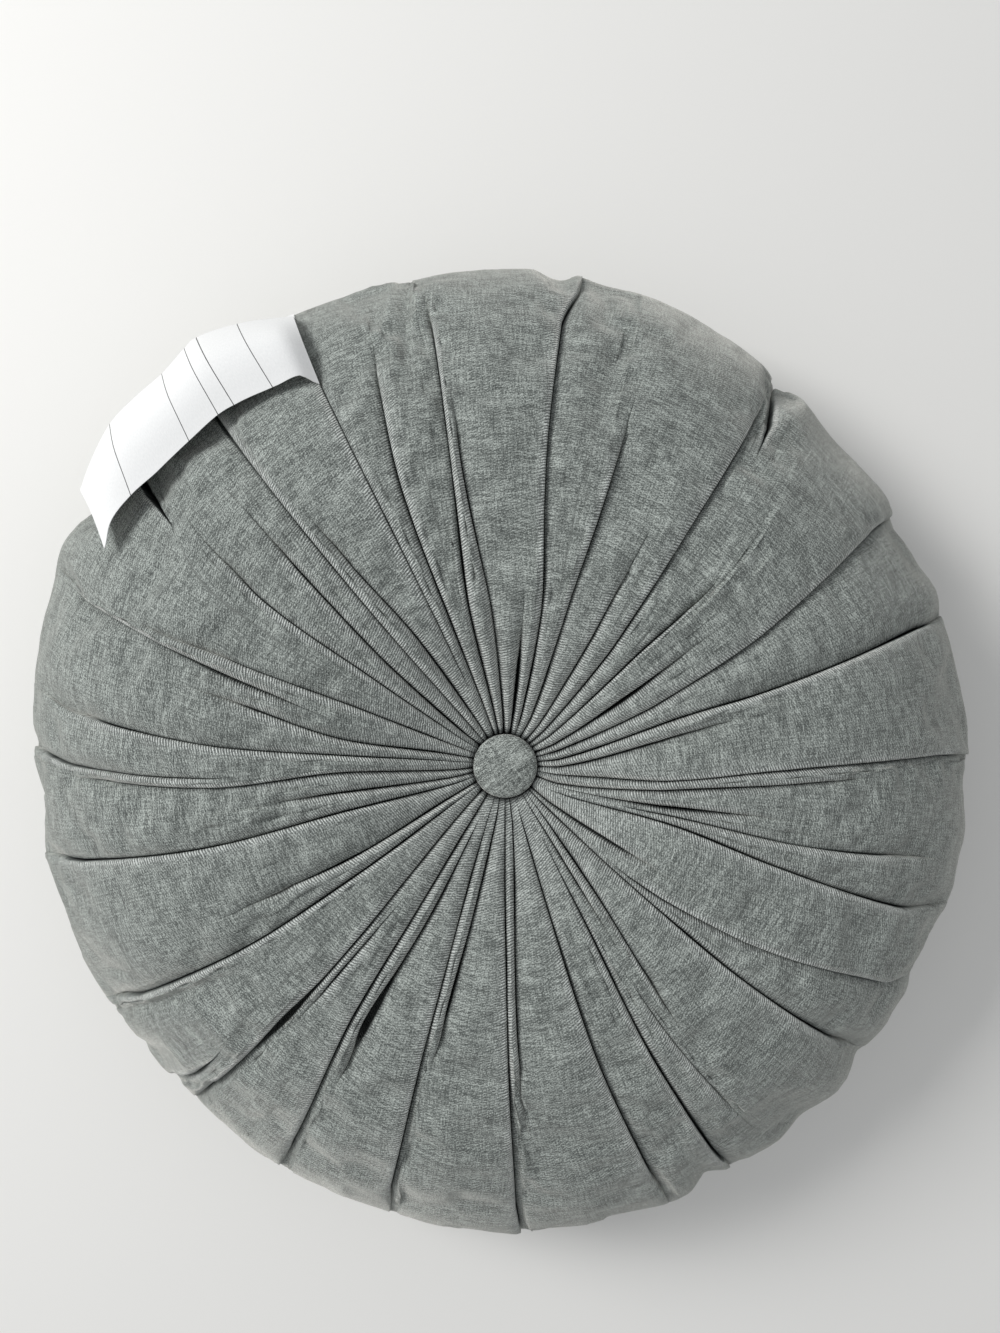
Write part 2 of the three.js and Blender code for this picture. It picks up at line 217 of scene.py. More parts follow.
# %% Pleat table
STATIONS = (25, 60, 110, 175, 200)
PLEAT_COLUMNS = ("button", "inner", "middle", "rim", "side", "start", "end", "tail", "top",
                 "depth", "wide", "gape", "gape_at")
PLEAT_ROWS = [
    (-25, -18.1, -19.3, -19.6, -18, 26, 180, 16, -1, 1, 11, 0.1, 170),
    (-22.3, -15.5, -14.2, -12.4, -12.8, 52, 160, 22, -1, 0.8, 9, 0.1, 140),
    (-19.6, -13, -9.5, -8, -8, 26, 96, 14, 1, 1, 11, 0.2, 72),
    (-16.5, -7.1, -2.5, -0.6, -1.5, 6, 133, 10, 1, 1, 11, 0.1, 100),
    (-7.5, -3.6, 0.7, 1.3, 0.6, 12, 194, 9, 1, 1, 11, 0.2, 150),
    (1.5, 11, 13, 9, 9, 6, 80, 16, 1, 1, 11, 0.2, 56),
    (9, 16.7, 17.5, 18.4, 17.7, 8, 195, 8, -1, 1, 11, 0.15, 178),
    (18, 23.5, 28.3, 32.3, 32, 10, 198, 6, 1, 1, 11, 0.1, 178),
    (26, 32, 35, 37, 37, 4, 78, 16, 1, 1, 11, 0.3, 54),
    (33.5, 39.3, 41.1, 46, 47, 80, 138, 30, 0, -1, 5, 0, 0),
    (36, 41.5, 42.6, 48.3, 50, 4, 98, 12, -1, 1, 11, 0, 0),
    (40, 45.5, 48.5, 52.1, 53.6, 166, 200, 8, -1, 1.1, 9, 0.1, 178),
    (44, 49, 53, 54.4, 56.3, 6, 178, 8, 1, 1, 11, 0.1, 150),
    (52.5, 57.5, 60, 62, 62, 4, 84, 18, 1, 1, 11, 0, 0),
    (64, 69.2, 70.3, 71.2, 71.2, 6, 131, 14, 1, 1, 11, 0.1, 100),
    (68.5, 73.2, 75.5, 74.8, 74.8, 132, 168, 16, 0, 0.8, 6, 0, 0),
    (73.5, 77.5, 82.5, 82.7, 80.4, 10, 194, 10, 1, 1, 11, 0.1, 178),
    (82, 84, 86.5, 88, 88, 4, 52, 12, 1, 1, 11, 0.2, 36),
    (93, 95.1, 98.2, 97.6, 97, 4, 130, 8, 1, 1, 11, 0.1, 100),
    (102, 102.9, 100.4, 99.4, 99.6, 6, 176, 12, -1, 1, 11, 0.3, 88),
    (105.5, 106.5, 105, 102.8, 101.4, 140, 196, 10, 0, 1, 6, 0, 0),
    (109.2, 110.2, 110.2, 107.4, 106, 4, 156, 14, -1, 1, 11, 0, 0),
    (114.3, 114.6, 115.3, 115.7, 115.7, 40, 168, 16, 1, 0.45, 11, 0, 0),
    (122, 123.6, 127, 125, 125, 6, 103, 20, 1, 1, 11, 0, 0),
    (130, 130, 129.8, 129.5, 129.5, 10, 192, 8, -1, 0.6, 11, 1, 174),
    (140, 137.6, 135.4, 134, 134, 4, 118, 18, 1, 1, 11, 0, 0),
    (146.5, 144.8, 144.4, 140.3, 138.5, 12, 124, 26, 1, 0.7, 11, 0, 0),
    (151, 150, 148, 142.4, 142, 162, 199, 6, 1, 0.9, 8, 1, 178),
    (157, 156.5, 157.5, 157.2, 155.5, 8, 118, 46, 1, 0.9, 11, 0, 0),
    (162, 162.4, 160.7, 158.4, 157.6, 82, 181, 10, -1, 1, 11, 0.3, 110),
    (167, 168.6, 165, 164, 163, 6, 108, 16, 1, 1, 11, 0, 0),
    (173.5, 174, 174.5, 172.6, 170.6, 16, 168, 26, 1, 0.8, 11, 0, 0),
    (177.5, 176.9, 180.6, 179.6, 178.5, 112, 198, 6, 1, 0.7, 9, 0.2, 186),
    (182.4, 179.9, 182.6, 181.1, 181, 4, 158, 16, -1, 1, 11, 0, 0),
    (190.6, 187.1, 187.4, 187, 187, 3, 79, 24, 1, 1, 11, 0, 0),
    (197, 193.6, 193.9, 192.4, 191.5, 14, 192, 10, 1, 0.9, 11, 0.1, 176),
    (209, 209, 207, 205, 205, 3, 98, 22, 1, 1, 11, 0.2, 74),
    (215, 214.5, 213.9, 212, 210.8, 12, 188, 14, 1, 1, 11, 0.1, 150),
    (218, 217.8, 217.2, 213.6, 213, 128, 196, 12, 0, 0.9, 4, 0, 0),
    (220.5, 221.2, 223.4, 224.8, 223.7, 165, 199, 6, -1, 1.1, 9, 0.2, 180),
    (226, 227.3, 228.1, 227.5, 227.7, 3, 195, 8, -1, 1.2, 11, 1.5, 128),
    (231.5, 230.6, 229.9, 231, 232, 72, 116, 10, 1, 0.7, 8, 0.2, 100),
    (237.5, 237.3, 237.7, 240.5, 240.8, 6, 187, 8, -1, 1, 11, 0.1, 110),
    (243, 242.3, 240.8, 243.5, 245, 30, 125, 14, -1, 1.2, 11, 1.5, 108),
    (251.5, 252.4, 253.4, 254.8, 256, 14, 184, 8, -1, 1, 11, 0.1, 130),
    (259.5, 257, 256, 258, 258, 14, 103, 14, -1, 1, 11, 0.3, 84),
    (269.7, 269.7, 270.3, 271.4, 272.1, 16, 196, 6, -1, 1, 11, 0, 176),
    (276.5, 273, 272.5, 275, 275, 14, 116, 18, -1, 1, 11, 0.1, 90),
    (287, 286.7, 287.4, 289.7, 290.5, 22, 178, 16, -1, 1, 11, 0, 0),
    (292.5, 292.5, 293.5, 294, 294, 54, 90, 20, 0, 0.5, 4, 0, 0),
    (297.5, 297.6, 296.9, 298.3, 298.9, 36, 197, 6, -1, 1, 11, 0.3, 162),
    (299.5, 300, 301.4, 304.2, 306, 96, 158, 14, -1, 0.5, 8, 0, 0),
    (301.7, 302.2, 302.9, 305.8, 307.5, 12, 63, 12, 1, 1, 11, 0, 0),
    (307.5, 306, 304.5, 307.8, 309.5, 16, 99, 20, -1, 1, 11, 0, 0),
    (315.8, 317.4, 318.4, 320.2, 321, 10, 178, 14, -1, 0.9, 11, 0, 0),
    (318.2, 319.2, 324.4, 330.1, 332.5, 58, 190, 12, 1, 0.9, 11, 0.2, 160),
    (321.5, 326.5, 328.5, 333, 334, 6, 63, 14, 1, 1, 11, 0.2, 44),
]
PLEATS = [dict(zip(PLEAT_COLUMNS, row)) for row in PLEAT_ROWS]
print("folds:", len(PLEATS), "with a slot:", sum(pleat["top"] != 0 for pleat in PLEATS))

# %% Direction of a pleat
FACE_RADIUS = 203
FLAT_INNER = 62
FREE_TURN = 0.25


def front_turn(pleat, radius):
    """A pleat's direction in degrees at a radius of the front."""
    knots = [pleat[name] for name in PLEAT_COLUMNS[:len(STATIONS)]]
    i = 0
    while i < len(STATIONS) - 2 and radius > STATIONS[i + 1]:
        i += 1
    share = math.log(radius / STATIONS[i]) / math.log(STATIONS[i + 1] / STATIONS[i])
    share = clamp(share, -FREE_TURN, 1.0)
    before = knots[i - 1] if i > 0 else 2 * knots[0] - knots[1]
    after = knots[min(i + 2, len(knots) - 1)]
    if share < 0:
        return knots[i] + (knots[i + 1] - before) / 2 * share
    return curve_between(before, knots[i], knots[i + 1], after, share)


def back_turn(pleat, index, radius):
    """On the back the pleats even out on their way from the seam to the button."""
    even = PLEATS[0]["rim"] + index * 360 / len(PLEATS)
    return blend(front_turn(pleat, FACE_RADIUS), even,
                 smoothstep(FACE_RADIUS - radius, 0, FACE_RADIUS - FLAT_INNER))


print("the first pleat turns", round(front_turn(PLEATS[0], 175) - front_turn(PLEATS[0], 25), 1),
      "degrees on its way out")

# %% [markdown]
# ## The shape of one fold
# At a fold one panel of cloth rolls over and dives down, and its neighbour dives under it, so a
# narrow slot is left between them. A bump map could draw it, but the dark line and the rolled
# edge only look right when the slot is really there. A fold's points go from the middle of the
# panel before it to the middle of the panel after it: a side, the slot, and the other side.
# The side on top ends in a tight roll, raised a little; the side below dives steeply under it.
# Both then slope broadly up to the panel's crown. Beside the button there is no room for that,
# so both sides roll alike there and the panels become round ridges. A dent is only a valley.
# Each point also gets two marks for the cloth's material: a painted highlight along the rolled
# edges (edge), and painted shade in and beside the slot (cavity_shade). Lengths are in
# millimetres, and the other measures are shares.

# %% Measures of a fold
ROLL_SHARES = (0.0, 0.12, 0.45, 1.0)
CROWN_SHARES = (0.12, 0.35, 0.65, 1.0)
SIDE_STEPS = len(ROLL_SHARES) + len(CROWN_SHARES) - 1
SLOT_STEPS = 3
FOLD_COLUMNS = 2 * SIDE_STEPS + 1 + SLOT_STEPS
SLOT_BOTTOM = SIDE_STEPS + 1 + SLOT_STEPS // 2
WIDE_PANEL = (3, 10)
GAP = 0.15
GAP_AT_BUTTON = 0.26
LEAST_GAP = 0.05
GAP_OF_ROOM = 0.13
ROLL_TOP = 2.1
ROLL_NARROW = 3.2
ROLL_CLOSED = 4.5
ROLL_OF_ROOM = 0.92
ROLL_DROP = 0.85
MOST_DROP = 1.2
STEP_UP = 1.2
STEP_UP_REACH = 7
STEP_DOWN = 1.2
STEP_DOWN_REACH = 4.5
TOP_SLOPE = 0.5
UNDER_SLOPE = 1.0
VALLEY_OF_PANEL = 0.45
LEAST_VALLEY = 0.8
DENT = 2.2
DENT_OF_PANEL = 0.7
print("columns of a fold:", FOLD_COLUMNS, "with the bottom of its slot at", SLOT_BOTTOM)

# %% A fold's broad part
def hollow(away, room, reach, power):
    """How deep a valley is at a place: 1 at its middle and 0 at the panel's crown."""
    if away >= room:
        return 0.0
    flat = math.exp(-((room / reach) ** power))
    return (math.exp(-((away / reach) ** power)) - flat) / (1 - flat)


def broad_shape(away, clear, on_top, fold):
    """Height of a fold's broad part at a place: its raised or sunken step, and its valley."""
    if fold["top"] == 0:
        deep = DENT * fold["soft"] * fold["depth"]
        return -deep * hollow(away, clear, min(DENT_OF_PANEL * clear, fold["wide"]), 2)
    wide = smoothstep(clear, *WIDE_PANEL)
    step = wide * fold["soft"] * fold["depth"] * (STEP_UP if on_top else -STEP_DOWN)
    valley = fold["valley"] * blend(1, TOP_SLOPE if on_top else UNDER_SLOPE, wide)
    reach = clamp(VALLEY_OF_PANEL * clear, LEAST_VALLEY, fold["wide"])
    height = step * hollow(away, clear, STEP_UP_REACH if on_top else STEP_DOWN_REACH, 1)
    return height - valley * hollow(away, clear, reach, 1)


print("a valley 10 mm wide, 5 mm from its middle:", round(hollow(5, 20, 10, 1), 2))

# %% One side of a fold
# The edge mark is a painted highlight: a lip just off the slot and a broader band beside it.
LIP = 0.95
LIP_AT = 0.8
LIP_REACH = 1.5
BAND = 0.62
BAND_REACH = 6
EDGE_OF_SLOT = 0.6
EDGE_UNDER = 0.4
# Painted shade in and beside the slot: on the side below, at the top side's mouth, and where the fold
# gapes.
SHADE_ON_TOP = 0.4
SHADE_UNDER = 0.5
SHADE_REACH = 0.6
SHADE_IN_GAPE = 0.5


def side_of_fold(room, clear, on_top, fold):
    """Points (away, height, painted highlight, painted shade) along a fold's side, from the slot
    outwards.
    """
    slot = fold["line"]
    mouth = max(LEAST_GAP, min(fold["gap"], GAP_OF_ROOM * room + fold["gape"]) * slot)
    wide = smoothstep(clear, *WIDE_PANEL)
    dent = fold["top"] == 0
    roll = blend(ROLL_CLOSED, blend(ROLL_NARROW, ROLL_TOP, wide), slot)
    roll = min(roll, ROLL_OF_ROOM * (room - mouth))
    drop = 0 if dent else ROLL_DROP * roll * fold["soft"] * min(fold["depth"], MOST_DROP)
    drop *= 1 if on_top else 1 - wide * slot
    aways = [mouth + share * roll for share in ROLL_SHARES]
    aways += [blend(mouth + roll, room, share) for share in CROWN_SHARES]
    points = []
    for away in aways:
        near = away - mouth
        under = max(0.0, 1 - near / roll)
        height = -drop * (1 - math.sqrt(max(0.0, 1 - under * under)))
        height += broad_shape(near, room if dent else clear, on_top, fold)
        # Painted highlight on the rolled edge, weaker on the side below.
        lip = LIP * math.exp(-(((near - LIP_AT) / LIP_REACH) ** 2))
        edge = max(lip, BAND * math.exp(-near / BAND_REACH)) * max(fold["soft"], EDGE_OF_SLOT * slot)
        edge *= 0 if dent else blend(1, 1 if on_top else EDGE_UNDER, wide)
        # Painted shade: darker towards the slot on the side below, only at the mouth on top.
        painted_shade = SHADE_UNDER * math.exp(-near / SHADE_REACH)
        if on_top:
            painted_shade = SHADE_ON_TOP * (near == 0)
        painted_shade += SHADE_IN_GAPE * min(1, fold["gape"]) * (near == 0)
        points.append((away, height, edge, painted_shade * slot * abs(fold["top"])))
    return points


# %% Both sides and the slot
SLOT_DEPTH = 3.2
MOST_DEEP = 1.1
GAPE_DEPTH = 2.0
LEAN = 1.3
LEAN_OF_ROOM = 0.25
WALL_ACROSS = 0.4
WALL_DOWN = 0.6
# How dark the slot's walls are painted as shade.
WALL_DARK = 0.85


def fold_profile(before, after, clear_before, clear_after, fold):
    """Points (across, height, painted highlight, painted shade) of a fold, with before and after as
    its room.
    """
    top = fold["top"]
    low_side = side_of_fold(before, clear_before, top < 0, fold)
    high_side = side_of_fold(after, clear_after, top > 0, fold)
    slot = fold["line"] * abs(top)
    lean = min(LEAN, LEAN_OF_ROOM * min(before, after)) * top * slot
    deep = SLOT_DEPTH * min(fold["depth"], MOST_DEEP) + GAPE_DEPTH * fold["gape"]
    bottom = min(low_side[0][1], high_side[0][1]) - deep * slot
    points = [(-away, *rest) for away, *rest in reversed(low_side)]
    for mouth, height in ((-low_side[0][0], low_side[0][1]), high_side[0][:2]):
        # The slot's walls and bottom are painted dark as shade.
        wall = (blend(mouth, lean, WALL_ACROSS), blend(height, bottom, WALL_DOWN), 0, WALL_DARK * slot)
        points.append(wall)
    points.insert(-1, (lean, bottom, 0, slot))
    points.extend(high_side[:-1])
    return points


# %% How far a front fold has opened
FADE = 12
RELAX = 34
OPENING = 12
SLOW_OPENING = 32
SLOW_STARTS = (10, 40)
LATE_START = 45
ROLL_LEAD = 2
CUT_LEAD = 9
CUT_LAG = 1
CUT_EXTRA = 0.1
BROAD_TAIL = 1.4
BROAD_BEYOND = 14
GAPE_LENGTH = 15
NEAR_BUTTON = (18, 60)
NEAR_RIM = (120, 192)
VALLEY_INSIDE = 1.8
VALLEY_AT_RIM = 2.0


def front_fold(pleat, radius):
    """A front fold at a radius: its slot, its rolled edges, its valley and its columns' pull."""
    start, end, tail = pleat["start"], pleat["end"], pleat["tail"]
    opening = SLOW_OPENING if SLOW_STARTS[0] < start < SLOW_STARTS[1] else OPENING
    starts = smoothstep(radius, start - ROLL_LEAD, start + opening)
    cuts = smoothstep(radius, start - CUT_LEAD, start + CUT_LAG)
    broad = starts * (1 - smoothstep(radius, end - FADE, end + BROAD_TAIL * tail + BROAD_BEYOND))
    pull = 1 - smoothstep(radius, end + tail, end + tail + RELAX)
    if start > LATE_START:
        pull *= smoothstep(radius, start - RELAX, start - ROLL_LEAD)
    gape = pleat["gape"] * math.exp(-(((radius - pleat["gape_at"]) / GAPE_LENGTH) ** 2))
    valley = blend(VALLEY_INSIDE, VALLEY_AT_RIM, smoothstep(radius, *NEAR_RIM))
    return {
        "top": pleat["top"], "depth": pleat["depth"], "wide": pleat["wide"], "pull": pull,
        "bars": broad * abs(pleat["top"]),
        "soft": starts * (1 - smoothstep(radius, end - FADE, end + tail)), "gape": gape,
        "line": cuts * (1 - smoothstep(radius, end - FADE, end)) * min(1, pleat["depth"] + CUT_EXTRA),
        "gap": gape + blend(GAP_AT_BUTTON, GAP, smoothstep(radius, *NEAR_BUTTON)),
        "valley": broad * pleat["depth"] * valley,
    }


sample = fold_profile(20, 20, 20, 20, front_fold(PLEATS[4], 100))
print("columns at each fold:", len(sample), "deepest:", round(min(p[1] for p in sample), 1), "mm")

# %% How far a back fold has opened
LEAVES_SEAM = (186, 202)
RESTS_FROM = (52, 70)
RESTS_TO = (136, 156)
PRESSED_SHUT = 0.6
BACK_DEPTH = 0.8
BACK_VALLEY = 0.7
BACK_WIDE = 11
PULLED_FROM = 0.3


def back_fold(pleat, radius):
    """Folds of the back: open on the side and round the button, pressed shut where it rests."""
    rests = smoothstep(radius, *RESTS_FROM) * (1 - smoothstep(radius, *RESTS_TO))
    opened = (1 - smoothstep(radius, *LEAVES_SEAM)) * (1 - PRESSED_SHUT * rests)
    on_front = front_fold(pleat, FACE_RADIUS)
    return {
        "top": 1, "depth": BACK_DEPTH, "line": opened, "soft": opened, "gap": GAP, "gape": 0,
        "bars": 1, "wide": BACK_WIDE,
        "pull": blend(on_front["pull"], 1, smoothstep(opened, 0, PULLED_FROM)),
        "valley": blend(on_front["valley"], BACK_VALLEY, smoothstep(opened, 0, 1)),
    }


print("a back fold is open by", round(back_fold(PLEATS[0], 100)["line"], 2), "where it rests")

# %% [markdown]
# ## One ring of the cover
# Each ring takes all the folds at its own radius, turns their points into places round the
# middle, and moves every point out or in along the section's own direction. A fold that has
# closed has no slot any more, so the broad shapes of its neighbours run on past it. Smooth
# noise makes the filling lumpy. Round the side the panels puff out between the folds, some more
# than others, so a short table gives each puff its direction, half its width in degrees and how
# far it swells in millimetres. Below nought it is a pinch. The real cushion is a little longer
# one way, so every place is stretched that way. The cloth right beside the button gets painted
# shade, and the cloth round it a painted highlight.

# %% Puffs and lumps
STRETCH = 0.022
STRETCH_TURN = 112
PUFF_COLUMNS = ("turn", "half_width", "swell")
PUFF_ROWS = [
    (0, 1.6, 1.8), (3, 5, 2.4), (20.5, 2.5, 2.2), (26, 2.5, -1.4), (30, 2.5, -1.8), (43, 6, -3.0),
    (53, 2, -3.6), (61, 5, 0.6), (73, 6, 1.4), (80.5, 1.6, 2.4), (87, 3, 1.2), (98, 5, 1.4),
    (112, 6, -2.0), (154, 4, 3.0), (160, 2.5, -0.6), (164, 8, 1.2), (172, 4, -0.8),
    (185.5, 2.2, -1.4), (193, 3, 1.6), (205, 7, 1.0), (218, 4, -1.8), (226, 2.2, -0.9),
    (233, 4, -1.4), (260, 7, 1.8), (271, 6, 3.0), (290, 3, 0.8), (296, 2, -4.4), (302, 3.5, -0.4),
    (310, 3, -4.0), (320, 2.5, -2.2), (330, 2.5, 2.4), (335, 2, 1.6), (343, 6, 0.8), (351, 3, 1.6),
]
PUFFS = [dict(zip(PUFF_COLUMNS, row)) for row in PUFF_ROWS]
PUFFS_FROM = 120
PUFF_HEIGHT = 60
PUFF_REACH = 26
LUMP_COLUMNS = ("round", "length", "shift", "height")
LUMP_ROWS = [(5, 55, 0, 1.3), (13, 26, 7, 0.55), (30, 11, 3, 0.22)]
LUMPS = [dict(zip(LUMP_COLUMNS, row)) for row in LUMP_ROWS]
LUMPS_GROW = (30, 90)


def place(turn, radius, height):
    """A point in metres from its direction in degrees, radius and height in millimetres."""
    reach = radius * (1 + STRETCH * math.cos(2 * math.radians(turn - STRETCH_TURN)))
    angle = math.radians(turn)
    return (reach * math.cos(angle) * MM, reach * math.sin(angle) * MM, height * MM)


def swell_at(turn, row):
    """How far the side puffs out in one direction at one ring."""
    if row["radius"] < PUFFS_FROM:
        return 0.0
    level = math.exp(-(((row["height"] - PUFF_HEIGHT) / PUFF_REACH) ** 2))
    swell = 0.0
    for puff in PUFFS:
        off = (turn - puff["turn"] + 180) % 360 - 180
        swell += puff["swell"] * math.exp(-((off / puff["half_width"]) ** 2))
    return swell * level


def lumpiness(angle, row):
    """Uneven filling: broad lumps with smaller ones and slight dents on them."""
    x, y = math.cos(angle), math.sin(angle)
    height = 0.0
    for lump in LUMPS:
        spot = (x * lump["round"], y * lump["round"], row["length"] / lump["length"] + lump["shift"])
        height += lump["height"] * noise.noise(Vector(spot))
    return height * smoothstep(row["radius"], *LUMPS_GROW)


print("puffs:", len(PUFFS), "largest:", max(puff["swell"] for puff in PUFFS), "mm")

# %% Folds that run on past closed neighbours
MOST_PASSED = 3
LEAST_SHARE = 0.01


def clear_ways(rooms, folds, onwards):
    """The way from each fold to the middle of its panel, past neighbours that have closed."""
    ways = []
    for i, room in enumerate(rooms):
        share = 1.0
        for passed in range(1, MOST_PASSED + 1):
            j = (i + passed * onwards) % len(folds)
            share *= 1 - folds[j]["bars"]
            room += share * rooms[j]
        ways.append(room)
    return ways


def run_on(ring, folds, rooms, ways, onwards):
    """Adds each fold's broad shape to the columns of the closed folds beside it."""
    for i, fold in enumerate(folds):
        centre = 0.0
        share = 1.0
        j = i
        for _ in range(MOST_PASSED):
            centre += 2 * rooms[j]
            j = (j + onwards) % len(folds)
            share *= 1 - folds[j]["bars"]
            if share < LEAST_SHARE or fold["bars"] == 0:
                break
            for column in ring[j]:
                away = centre + onwards * column[0]
                column[1] += share * broad_shape(away, ways[i], fold["top"] == onwards, fold)


print("ways past a closed fold:", clear_ways([5, 5, 5], [{"bars": 1}, {"bars": 0}, {"bars": 1}], 1))


# %% All the folds of a ring
WAVE_LENGTH = 30
WAVE_SHIFT = 3.7
WAVE_LEVEL = 0.5
WAVE_ON_SLOT = 0.5
WAVE_ON_DEPTH = 0.25
OPEN_FROM = 0.02


def folds_at(row):
    """Every fold at a ring, its slot and depth varied a little along its way."""
    folds = [front_fold(p, row["radius"]) if row["front"] else back_fold(p, row["radius"])
             for p in PLEATS]
    for i, fold in enumerate(folds):
        spot = (i * WAVE_SHIFT, row["length"] / WAVE_LENGTH, WAVE_LEVEL)
        wave = noise.noise(Vector(spot))
        fold["line"] *= 1 + WAVE_ON_SLOT * wave
        fold["depth"] *= 1 + WAVE_ON_DEPTH * wave
    return folds


def ring_of_folds(row):
    """The ring's columns: direction, height over the section, painted highlight and painted shade at
    each point.
    """
    radius = row["radius"]
    turns = [front_turn(p, radius) if row["front"] else back_turn(p, i, radius)
             for i, p in enumerate(PLEATS)]
    folds = folds_at(row)
    degrees_per_mm = math.degrees(1 / radius)
    after = [(b - a) / degrees_per_mm / 2 for a, b in zip(turns, turns[1:] + [turns[0] + 360])]
    before = [after[-1]] + after[:-1]
    clear_after = clear_ways(after, folds, 1)
    clear_before = clear_ways(before, folds, -1)
    ring = []
    for i, fold in enumerate(folds):
        points = []
        profile = fold_profile(before[i], after[i], clear_before[i], clear_after[i], fold)
        for k, (across, height, edge, cavity_shade) in enumerate(profile):
            even = blend(-before[i], after[i], k / FOLD_COLUMNS)
            points.append([blend(even, across, fold["pull"]), height, edge, cavity_shade])
        ring.append(points)
    run_on(ring, folds, after, clear_after, 1)
    run_on(ring, folds, before, clear_before, -1)
    columns = [(turns[i] + across * degrees_per_mm, height, edge, cavity_shade)
               for i, points in enumerate(ring) for across, height, edge, cavity_shade in points]
    return columns, [fold["line"] > OPEN_FROM for fold in folds]


print("slots open on a ring of the crown:", sum(ring_of_folds(ROWS[35])[1]))


# %% Cover ring
SEAM_GROOVE = 1.6
GROOVE_REACH = 1.8
# A ring of painted shade right beside the button, and a painted highlight round it.
BUTTON_SHADE = (13.0, 14.8)
BUTTON_HIGHLIGHT = 0.7
BUTTON_HIGHLIGHT_REACH = (28, 82)
FIRST_FOLD = min(i for i, pleat in enumerate(PLEATS) if pleat["rim"] > 270)


def cover_ring(row):
    """Places of a ring's points, with the painted highlight and painted shade that the material reads.
    """
    columns, opened = ring_of_folds(row)
    first = FIRST_FOLD * FOLD_COLUMNS + SLOT_BOTTOM
    columns = columns[first:] + [(c[0] + 360, *c[1:]) for c in columns[:first]]
    groove = SEAM_GROOVE * math.exp(-((row["seam"] / GROOVE_REACH) ** 2))
    points = []
    for turn, height, edge, cavity_shade in columns:
        lifted = height - groove + lumpiness(math.radians(turn), row) + swell_at(turn, row)
        spot = place(turn, row["radius"] + lifted * row["out"][0],
                     max(row["height"] + lifted * row["out"][1], 0.0))
        # Painted shade beside the button and a painted highlight round it, added to the fold marks.
        cavity_shade = max(cavity_shade, 1 - smoothstep(row["radius"], *BUTTON_SHADE))
        edge = max(edge, BUTTON_HIGHLIGHT * (1 - smoothstep(row["radius"], *BUTTON_HIGHLIGHT_REACH)))
        points.append({"place": spot, "turn": turn, "edge": edge, "cavity_shade": cavity_shade})
    return points, opened[FIRST_FOLD:] + opened[:FIRST_FOLD]


print("points on one ring:", len(cover_ring(ROWS[20])[0]))

# %% [markdown]
# ## Letting the filling press the cloth out
# Panels drawn ring by ring are too even. Real cloth is a little too large for its filling, and it
# buckles where the pleats let go of it. So a coarse copy of the cover, the cage, goes to the
# cloth solver. It is held along the slots, round the button and where it rests, grows by a few
# hundredths, and is pressed out from inside for some frames. Simulating the fine mesh would be
# far slower, and remeshing it would close the slots. So only the cage's movement is kept: it is
# capped and spread over the fine rings, which carry their slots with them.

# %% The coarse cage
CAGE_COLUMNS = (4, 8, 10, 14)
CAGE_ROW_STEP = 2
CAGE_FRAMES = 16
CAGE_PRESSURE = 2.0
CAGE_GROWTH = 0.04
HELD_FRONT = 66
HELD_BACK = 176
MOVE_CAP = 1.8 * MM


def cage_columns(count):
    """The columns of a ring that the cage keeps: both rolls of each fold, and two on each panel."""
    every = FOLD_COLUMNS * len(PLEATS) // count
    return [(i * FOLD_COLUMNS + k) // every for i in range(len(PLEATS)) for k in CAGE_COLUMNS]


def held_points(row, opened):
    """Which of the cage's points on a ring are held, as one value for each."""
    if row["radius"] < (HELD_FRONT if row["front"] else HELD_BACK):
        return [True] * (len(PLEATS) * len(CAGE_COLUMNS))
    held = []
    for i in range(len(PLEATS)):
        this_one, next_one = opened[i], opened[(i + 1) % len(PLEATS)]
        held.extend((this_one, False, False, next_one))
    return held


def mesh_object(name, places, faces):
    """A new mesh object from its points and faces."""
    mesh = bpy.data.meshes.new(name)
    mesh.from_pydata(places, [], faces)
    return linked_object(name, mesh)


def build_cage(rings, kept):
    """The coarse closed copy of the cover, with its held points in a vertex group."""
    places = []
    held = []
    for r in kept:
        points, opened = rings[r]
        places.extend(points[c]["place"] for c in cage_columns(len(points)))
        held.extend(held_points(ROWS[r], opened))
    wide = len(PLEATS) * len(CAGE_COLUMNS)
    faces = []
    for r in range(len(kept) - 1):
        upper, lower = r * wide, (r + 1) * wide
        faces.extend([upper + c, lower + c, lower + (c + 1) % wide, upper + (c + 1) % wide]
                     for c in range(wide))
    faces.append(list(range(wide)))
    faces.append([(len(kept) - 1) * wide + c for c in reversed(range(wide))])
    cage = mesh_object("cage", places, faces)
    group = cage.vertex_groups.new(name="held")
    group.add([i for i, is_held in enumerate(held) if is_held], 1.0, "REPLACE")
    return cage


print("the cage keeps", len(cage_columns(FOLD_COLUMNS * len(PLEATS))), "points of each ring")


# %% Cloth simulation of the cage
def cage_moves(cage):
    """How far each point of the cage moves while the solver runs, softly capped."""
    cloth = cage.modifiers.new("cloth", "CLOTH")
    cloth.settings.vertex_group_mass = "held"
    cloth.settings.use_pressure = True
    cloth.settings.uniform_pressure_force = CAGE_PRESSURE
    cloth.settings.shrink_min = -CAGE_GROWTH
    cloth.settings.effector_weights.gravity = 0
    for frame in range(1, CAGE_FRAMES + 1):
        bpy.context.scene.frame_set(frame)
    solved = cage.evaluated_get(bpy.context.evaluated_depsgraph_get()).to_mesh()
    moves = []
    for start, end in zip(cage.data.vertices, solved.vertices):
        move = end.co - start.co
        moves.append(move * (MOVE_CAP * math.tanh(move.length / MOVE_CAP) / max(move.length, 1e-9)))
    bpy.context.scene.frame_set(1)
    return moves


